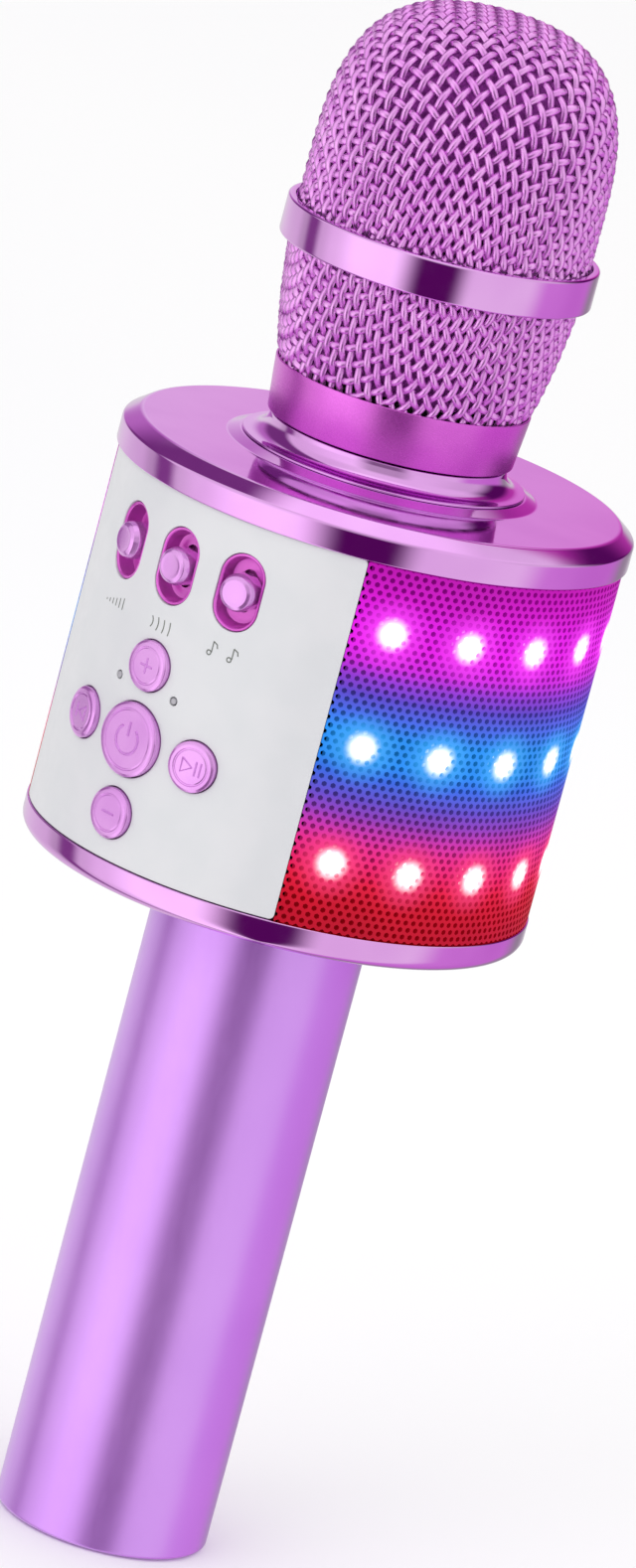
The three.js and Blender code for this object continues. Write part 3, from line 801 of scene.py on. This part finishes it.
# ---- barrel skin ---------------------------------------------------------------------------------------
def bend(mesh):
    """Wraps a flat sheet on the barrel: x is the way round at the skin, y the height, and z how far out of
    the skin."""
    co = np.zeros(len(mesh.vertices) * 3)
    mesh.vertices.foreach_get("co", co)
    co = co.reshape(-1, 3)
    angle = co[:, 0] / SHELL_R
    r = SHELL_R + co[:, 2]
    mesh.vertices.foreach_set("co", np.stack([r * np.sin(angle), -r * np.cos(angle), co[:, 1]], 1).ravel())
    mesh.update()


def stadium(half_width, half_length, count=48, x=0.0, y=0.0):
    straight = half_length - half_width
    out = []
    for k in range(count):
        across, along = math.cos(TAU * (k + 0.5) / count), math.sin(TAU * (k + 0.5) / count)
        out.append((x + half_width * across, y + half_width * along + math.copysign(straight, along)))
    return out


def flat_plate(name, loops, thickness, bevel):
    """A plate with holes: loops are closed outlines in the plane, the first one outermost."""
    curve = bpy.data.curves.new(name, "CURVE")
    curve.dimensions = "2D"
    curve.fill_mode = "BOTH"
    curve.extrude = thickness / 2 - bevel
    curve.bevel_depth = bevel
    curve.bevel_resolution = 2
    curve.offset = -bevel
    for loop in loops:
        spline = curve.splines.new("POLY")
        spline.points.add(len(loop) - 1)
        spline.use_cyclic_u = True
        for point, (x, y) in zip(spline.points, loop):
            point.co = (x, y, 0, 1)
    obj = linked(name, curve)
    bpy.context.view_layer.update()
    mesh = bpy.data.meshes.new_from_object(obj.evaluated_get(bpy.context.evaluated_depsgraph_get()))
    bpy.data.objects.remove(obj)
    bpy.data.curves.remove(curve)
    return mesh


def sliced(bm, axis, start, end, step):
    """Cuts a mesh across at every step, so that it can be bent."""
    place = [0.0, 0.0, 0.0]
    normal = [0.0, 0.0, 0.0]
    normal[axis] = 1.0
    at = start
    while at < end:
        place[axis] = at
        geometry = bm.verts[:] + bm.edges[:] + bm.faces[:]
        bmesh.ops.bisect_plane(bm, geom=geometry, plane_co=place, plane_no=normal, dist=1e-7)
        at += step


def circle(x, y, radius, count):
    angles = [TAU * k / count for k in range(count)]
    return [(x + radius * math.cos(a), y + radius * math.sin(a)) for a in angles]


def round_x(degrees):
    """How far round the skin an azimuth is."""
    return SHELL_R * math.radians(degrees)


def make_panel(mats):
    half, top = round_x(PANEL_HALF_DEG), PANEL_HIGH + PANEL_OVER
    corner = PANEL_CORNER
    outline = []
    for cx, cy, first in ((half, PANEL_LOW, -90), (half, top, 0), (-half, top, 90), (-half, PANEL_LOW, 180)):
        sx = cx - math.copysign(corner, cx)
        sy = cy + (corner if cy == PANEL_LOW else -corner)
        for k in range(7):
            a = math.radians(first + 90 * k / 6)
            outline.append((sx + corner * math.cos(a), sy + corner * math.sin(a)))
    loops = [outline]
    for name in BUTTONS:
        loops.append(circle(round_x(BUTTON_DEG[name]), BUTTON_Z[name], BUTTON_R[name] + BUTTON_GAP, 72))
    for name in SLIDERS:
        loops.append(stadium(SLOT_HALF[0], SLOT_HALF[1], 72, round_x(SLIDER_DEG[name]), SLIDER_Z))
    for side in (-1, 1):
        loops.append(circle(round_x(side * INDICATOR_DEG), INDICATOR_Z, INDICATOR_R + INDICATOR_GAP, 24))
    mesh = flat_plate("front_panel", loops, PANEL_THICK, PANEL_BEVEL)
    bm = bmesh.new()
    bm.from_mesh(mesh)
    bmesh.ops.remove_doubles(bm, verts=bm.verts, dist=1e-6)
    bmesh.ops.translate(bm, verts=bm.verts, vec=(0, 0, -PANEL_THICK / 2))
    sliced(bm, 0, -half + 0.4 * MM, half, 1.2 * MM)
    bmesh.ops.dissolve_degenerate(bm, edges=bm.edges, dist=1e-7)
    bm.to_mesh(mesh)
    bm.free()
    bend(mesh)
    obj = finished("front_panel", mesh, mats["panel"], 50)
    weighted = obj.modifiers.new("weighted", "WEIGHTED_NORMAL")
    weighted.keep_sharp = True
    weighted.weight = 100
    piece(obj, ROOT, "panel_white", "control_panel")


def make_grille(mats):
    """A thin perforated sheet, in three lengths butted together."""
    spacing, row, hole = 1.36 * MM, 1.12 * MM, 0.44 * MM
    thick = 0.6 * MM
    start, end = round_x(GRILLE_FROM_DEG), round_x(360 - GRILLE_FROM_DEG)
    lengths = 3
    hexagon = [(0, row * 2 / 3), (spacing / 2, row / 3), (spacing / 2, -row / 3), (0, -row * 2 / 3),
               (-spacing / 2, -row / 3), (-spacing / 2, row / 3)]
    opening = [(hole * math.sin(TAU * k / 6), hole * math.cos(TAU * k / 6)) for k in range(6)]
    for part in range(lengths):
        x0 = start + (end - start) * part / lengths
        x1 = start + (end - start) * (part + 1) / lengths
        corners, faces, walls = {}, [], []
        points = []

        def corner(x, y):
            key = (round(x / MM, 3), round(y / MM, 3))
            if key not in corners:
                corners[key] = len(points)
                points.extend([(x, y, 0), (x, y, -thick)])
            return corners[key]

        j = math.floor(PANEL_LOW / row) - 1
        while j * row < PANEL_HIGH + row:
            shift = spacing / 2 if j % 2 else 0
            i = math.floor(x0 / spacing) - 1
            while i * spacing < x1 + spacing:
                cx, cy = i * spacing + shift, j * row
                outer = [corner(cx + x, cy + y) for x, y in hexagon]
                base = len(points)
                for x, y in opening:
                    points.extend([(cx + x, cy + y, 0), (cx + x, cy + y, -thick)])
                for k in range(6):
                    n = (k + 1) % 6
                    a, b = outer[k], outer[n]
                    c, d = base + 2 * k, base + 2 * n
                    faces.append((a, c, d, b))
                    walls.append((a + 1, b + 1, d + 1, c + 1))
                    walls.append((c, c + 1, d + 1, d))
                i += 1
            j += 1
        name = f"grille_{part + 1}"
        mesh = bpy.data.meshes.new(name)
        mesh.from_pydata(points, [], faces + walls)
        mesh.polygons.foreach_set("material_index", [0] * len(faces) + [1] * len(walls))
        bm = bmesh.new()
        bm.from_mesh(mesh)
        for place, normal in (((x0, 0, 0), (-1, 0, 0)), ((x1, 0, 0), (1, 0, 0)),
                              ((0, PANEL_LOW, 0), (0, -1, 0)), ((0, PANEL_HIGH, 0), (0, 1, 0))):
            geometry = bm.verts[:] + bm.edges[:] + bm.faces[:]
            bmesh.ops.bisect_plane(bm, geom=geometry, plane_co=place, plane_no=normal, clear_outer=True,
                                   dist=1e-8)
            edges = [e for e in bm.edges if e.is_boundary and all(
                abs((v.co - Vector(place)).dot(Vector(normal))) < 1e-6 for v in e.verts)]
            made = bmesh.ops.holes_fill(bm, edges=edges, sides=0)
            for face in made["faces"]:
                face.material_index = 1
        bmesh.ops.recalc_face_normals(bm, faces=bm.faces)
        bm.to_mesh(mesh)
        bm.free()
        bend(mesh)
        smoothed(mesh, 40)
        # the sheet glows with painted light, and its hole walls with a dimmer copy that paints shade in the
        # holes
        mesh.materials.append(mats["sleeve"])
        mesh.materials.append(mats["sleeve_side"])
        piece(linked(name, mesh), ROOT, "grille", "speaker_grille")


# ---- controls ------------------------------------------------------------------------------------------
def arc(x, y, r, from_deg, to_deg, count=20):
    """Points on an arc, measured from +Y towards +X."""
    out = []
    for k in range(count + 1):
        a = math.radians(from_deg + (to_deg - from_deg) * k / count)
        out.append((x + r * math.sin(a), y + r * math.cos(a)))
    return out


ICONS = {
    "power": [arc(0, 0, 2.5, 38, 322, 32), [(0, 3.0), (0, 0.6)]],
    "up": [[(-1.5, 0), (1.5, 0)], [(0, -1.5), (0, 1.5)]],
    "down": [[(-1.5, 0), (1.5, 0)]],
    "left": [[(1.5, 1.4), (-0.9, 0), (1.5, -1.4), (1.5, 1.4)], [(-1.6, 1.4), (-1.6, -1.4)]],
    "right": [[(-1.9, 1.4), (0.3, 0), (-1.9, -1.4), (-1.9, 1.4)], [(1.1, 1.4), (1.1, -1.4)],
              [(2.1, 1.4), (2.1, -1.4)]],
}


ICON_HEIGHT = 40.1 * MM


def make_buttons(mats):
    for name in BUTTONS:
        node = f"{name}_button"
        r = BUTTON_R[name] / MM
        place = on_barrel(BUTTON_DEG[name], BUTTON_Z[name])
        outline = [(0, 35.4), (1.5, 35.4), (1.5, 35.7), (r, 35.7), (r, 39.95, 0.25), (r - 0.45, 40.22, 0.25),
                   (r - 0.95, 40.3, 0.1), (r - 1.05, 40.14, 0.05), (r - 1.2, 40.14, 0.05),
                   (r - 1.35, 40.25, 0.12), (0, 40.2)]
        cap = Build().turned(rounded(outline), 96, matrix=place).object(f"{name}_key", mats["button"], 50)
        piece(cap, node, "button_lilac", node)
        size, bead = (0.9, 0.26) if name == "power" else (0.8, 0.22)
        icon = Build()
        for path in ICONS[name]:
            icon.bead([(x * size * MM, y * size * MM, ICON_HEIGHT) for x, y in path], bead * MM)
        icon = Build().add(icon.points, icon.faces, place)
        piece(icon.object(f"{name}_icon", mats["icon"], 50), node, "button_lilac")


def make_sliders(mats):
    for name in SLIDERS:
        body = f"{name}_slider"
        place = on_barrel(SLIDER_DEG[name], SLIDER_Z)
        # (inset from the outer edge, radial height)
        section = [(-0.2, 36.0), (-0.2, 38.9), (-0.15, 39.05), (-0.05, 39.1), (0.15, 39.05), (0.28, 38.9),
                   (0.36, 38.0), (0.5, 37.2), (0.8, 36.75), (1.25, 36.6), (1.7, 36.6)]
        loops = []
        for inset, height in section:
            loop = stadium(SLOT_HALF[0] - GAP - inset * MM, SLOT_HALF[1] - GAP - inset * MM, 64)
            loops.append([(x, y, height * MM) for x, y in loop])
        # the slot in the floor for the lever
        for height in (36.6, 36.0):
            loops.append([(x, y, height * MM) for x, y in stadium(1.25 * MM, 3.35 * MM, 64)])
        well = Build().loft(loops, place).object(f"{name}_dish", mats["well"])
        piece(well, ROOT, "well_magenta", f"{name}_well")

        outline = [(0, 36.9), (2.85, 36.9, 0.15), (2.9, 39.5, 0.6), (2.55, 40.35, 0.35), (2.0, 40.68, 0.3),
                   (1.5, 40.6, 0.5), (0, 40.5)]
        knob = Build().turned(rounded(outline), 72, matrix=place)
        knob.prism(stadium(0.8 * MM, 0.9 * MM, 16), 34.7 * MM, 37.0 * MM, place)
        piece(knob.object(f"{name}_thumb", mats["button"], 50), body, "button_lilac", f"{name}_knob")
        # a plate behind the floor, which keeps the slot covered as the knob slides
        shutter = Build().prism(stadium(1.7 * MM, 5.6 * MM, 24), 35.25 * MM, 35.6 * MM, place)
        piece(shutter.object(f"{name}_shutter", mats["well"]), body, "well_magenta")


def make_indicators(mats):
    for name, side in (("left", -1), ("right", 1)):
        place = on_barrel(side * INDICATOR_DEG, INDICATOR_Z)
        outline = [(0, 36), (1.3, 36), (1.3, 36.6), (0.5, 36.6), (0.5, 39.35, 0.2), (0.2, 39.45, 0.1),
                   (0, 39.46)]
        lens = Build().turned(rounded(outline), 40, matrix=place).object(f"lens_{name}", mats["lens"])
        piece(lens, ROOT, "diffuser", f"indicator_{name}")


LABEL_DROP = 9.4 * MM
LABEL_LINE = 0.16 * MM
LABEL_SINK = 0.1 * MM


def make_labels(mats):
    """Small plain signs under the sliders: rising bars, echo arcs and notes."""
    level = [[(x, -0.9), (x, -0.9 + 0.3 * (k + 1))] for k, x in enumerate((-2.5, -1.5, -0.5, 0.5, 1.5, 2.5))]
    echo = [arc(-2.9, 0, r, 90 - spread, 90 + spread, 8)
            for r, spread in ((1.2, 44), (2.4, 25), (3.6, 16.5), (4.8, 12.5))]
    notes = []
    for x in (-1.9, 1.6):
        notes += [arc(x - 0.3, -0.75, 0.36, 0, 360, 12), [(x + 0.12, -0.6), (x + 0.12, 1.1)],
                  [(x + 0.12, 1.1), (x + 0.8, 0.75), (x + 0.95, 0.2)]]
    for name, marks in zip(SLIDERS, (level, echo, notes)):
        x, y = round_x(SLIDER_DEG[name]), SLIDER_Z - LABEL_DROP
        build = Build()
        for path in marks:
            build.bead([(x + u * MM, y + v * MM, -LABEL_SINK) for u, v in path], LABEL_LINE, 6)
        sign = build.object(f"{name}_sign", mats["mark"], 50)
        bend(sign.data)
        piece(sign, ROOT, "panel_white")


def make_underside(mats):
    """Cross-head screws, and the tongue in the charging socket."""
    for i in (1, 2, 3):
        node = f"chassis_screw_{i}"
        lo, hi = low(node), high(node)
        x, y, z = (lo.x + hi.x) / 2, (lo.y + hi.y) / 2, lo.z / MM
        outline = [(0, z), (1.5, z, 0.3), (2.6, z + 0.5, 0.3), (2.6, z + 1.2, 0.1), (1.2, z + 1.2),
                   (1.2, hi.z / MM), (0, hi.z / MM)]
        screw = Build().turned(rounded(outline), 48, matrix=Matrix.Translation((x, y, 0)))
        screw = screw.object(f"screw_{i}", mats["steel"])
        arm, wide = 1.5 * MM, 0.26 * MM
        cut(screw, [slab(x - arm, x + arm, y - wide, y + wide, 0, (z + 0.8) * MM),
                    slab(x - wide, x + wide, y - arm, y + arm, 0, (z + 0.8) * MM)])
        piece(screw, ROOT, "steel", node)
    lo, hi = low("usb_port"), high("usb_port")
    x, y = (lo.x + hi.x) / 2, (lo.y + hi.y) / 2
    loops = []
    for inset, z in ((0.1, 107.6), (0, 107.8), (0, 113.2)):
        outline = stadium((0.35 - inset) * MM, (3.3 - inset) * MM, 24)
        loops.append([(x + u, y + v, z * MM) for v, u in outline])
    build = Build().loft(loops, closed=False)
    build.faces.append(tuple(range(23, -1, -1)))
    build.faces.append(tuple(range(48, 72)))
    piece(build.object("usb_tongue", mats["gold"]), ROOT, "black_plastic")


# finishes of the CAD nodes that are shown as they are
KEPT = {
    "battery_cell": "wrap", "battery_sleeve": "black", "battery_lead": "rubber", "capsule_lead": "rubber",
    "usb_port": "nickel", "card_slot": "nickel", "aux_socket": "black", "chassis": "black",
    "key_board": "board", "main_board": "board", "speaker_left": "cone", "speaker_right": "cone",
    "led_strip_upper": "strip", "led_strip_middle": "strip", "led_strip_lower": "strip",
    # the diffuser gets the painted glow of the lamps behind it
    "light_diffuser": "diffuser", "capsule_cup": "black", "mic_capsule": "nickel", "head_insert": "black",
}


def finish_kept_nodes(mats):
    finishes = dict(KEPT)
    finishes.update({f"{name}_switch": "black" for name in BUTTONS})
    finishes.update({f"{name}_control": "nickel" for name in SLIDERS})
    for node, finish in finishes.items():
        for slot in nodes[node].material_slots:
            slot.material = mats[finish]


# ---- studio --------------------------------------------------------------------------------------------
# what shines on gloss low down, higher up and overhead, by degrees to the right of the camera
DEEP = (0.10, 0.005, 0.11)
PLUM = (0.25, 0.09, 0.27)
ROSE = (0.52, 0.06, 0.42)
MAUVE = (0.55, 0.25, 0.58)
DUSK = (0.20, 0.06, 0.22)
ORCHID = (0.80, 0.46, 0.80)
LOW_RING = [
    (-180, 0.75), (-150, 0.85), (-125, 0.8), (-114, 0.6), (-107, PLUM), (-101, PLUM), (-93, 0.8), (-80, 1.0),
    (-58, 1.35), (-30, 1.3), (-7, DEEP), (13, DEEP), (30, 0.95), (72, 0.95), (92, (0.74, 0.38, 0.78)),
    (135, (0.66, 0.28, 0.7)), (155, 0.35), (180, 0.75),
]
HIGH_RING = [
    (-180, ORCHID), (-176, (0.86, 0.72, 0.89)), (-158, MAUVE), (-140, DUSK), (-112, DUSK), (-98, 0.9),
    (-30, 1.15), (-8, 0.6), (16, 0.6), (36, 1.0), (100, 0.8), (132, DEEP), (150, DEEP), (168, ROSE),
    (176, (0.76, 0.26, 0.70)), (180, ORCHID),
]
TOP_RING = [
    (-180, 0.95), (-152, 0.85), (-140, DUSK), (-112, DUSK), (-98, 0.9), (0, 1.0), (100, 1.0), (128, 0.9),
    (140, ROSE), (152, ROSE), (164, 0.9), (180, 0.95),
]
OVERHEAD = (1.25, 1.25, 1.25, 1.0)
DIFFUSE_LIGHT = 1.03
FLOOR_REACH = 12.0


def make_studio():
    scene = bpy.context.scene
    scene.view_settings.view_transform = "Standard"
    scene.view_settings.look = "None"
    world = bpy.data.worlds.new("studio")
    scene.world = world
    world.use_nodes = True
    n = Nodes(world.node_tree)
    x, y, z = n.split(n.tree.nodes.new("ShaderNodeTexCoord").outputs["Generated"])
    turns = n.math("DIVIDE", n.azimuth(x, y), TAU)
    turns = n.math("FRACT", n.math("ADD", turns, 0.5 - CAMERA_AZIMUTH / 360 + 1))

    def ring(stops):
        """Light round the horizon from stops of (degrees right of the camera, brightness or colour)."""
        colours = []
        for degrees, level in stops:
            shade = level if isinstance(level, tuple) else (level, level, level)
            colours.append(((degrees + 180) / 360, (*shade, 1.0)))
        return n.stops(turns, colours, "EASE")

    # each light gives way to the next one up between two heights, which are sines of the elevation
    sky = ring(LOW_RING)
    higher = ((-0.02, 0.12, ring(HIGH_RING)), (0.5, 0.72, ring(TOP_RING)), (0.88, 0.97, OVERHEAD))
    for start, end, above in higher:
        sky = n.mix(n.ramp(z, start, end, 0.0, 1.0), sky, above)
    ray = n.tree.nodes.new("ShaderNodeLightPath")
    for kind, level in (("Is Diffuse Ray", DIFFUSE_LIGHT), ("Is Camera Ray", 1.0)):
        sky = n.mix(ray.outputs[kind], sky, (level, level, level, 1.0))
    background = n.tree.nodes["Background"]
    n.wire(sky, background.inputs["Color"])
    n.wire(1.0, background.inputs["Strength"])

    def area(name, azimuth_deg, elevation, distance, size, power, height=0.14):
        data = bpy.data.lights.new(name, "AREA")
        data.shape = "RECTANGLE"
        data.size, data.size_y = size
        data.energy = power
        light = linked(name, data)
        back = direction(azimuth_deg, elevation)
        light.matrix_world = Matrix.Translation(Vector((0, 0, height)) + back * distance) @ looking_back(back)
        light.visible_camera = False
        light.visible_glossy = False

    area("key", CAMERA_AZIMUTH - 38, 34, 0.9, (0.5, 0.7), 1.4)
    area("fill", CAMERA_AZIMUTH + 60, 20, 1.1, (0.4, 0.8), 0.8)

    floor_mesh = bpy.data.meshes.new("floor")
    corners = [(x * FLOOR_REACH, y * FLOOR_REACH, 0) for x, y in ((-1, -1), (1, -1), (1, 1), (-1, 1))]
    floor_mesh.from_pydata(corners, [], [(0, 1, 2, 3)])
    pale = Surface("pale_floor", srgb(250, 250, 250), 0.8, Specular_IOR_Level=0.1)
    pale.tint(0.6, srgb(248, 248, 249))
    floor_mesh.materials.append(pale.material)
    floor = linked("floor", floor_mesh)
    floor.location.z = -0.05 * MM
    floor.visible_glossy = False


materials = make_materials()
make_camera()
make_studio()
make_handle(materials)
make_caps(materials)
make_neck_thread(materials)
make_head(materials)
make_panel(materials)
make_grille(materials)
make_buttons(materials)
make_sliders(materials)
make_indicators(materials)
make_labels(materials)
make_underside(materials)
finish_kept_nodes(materials)
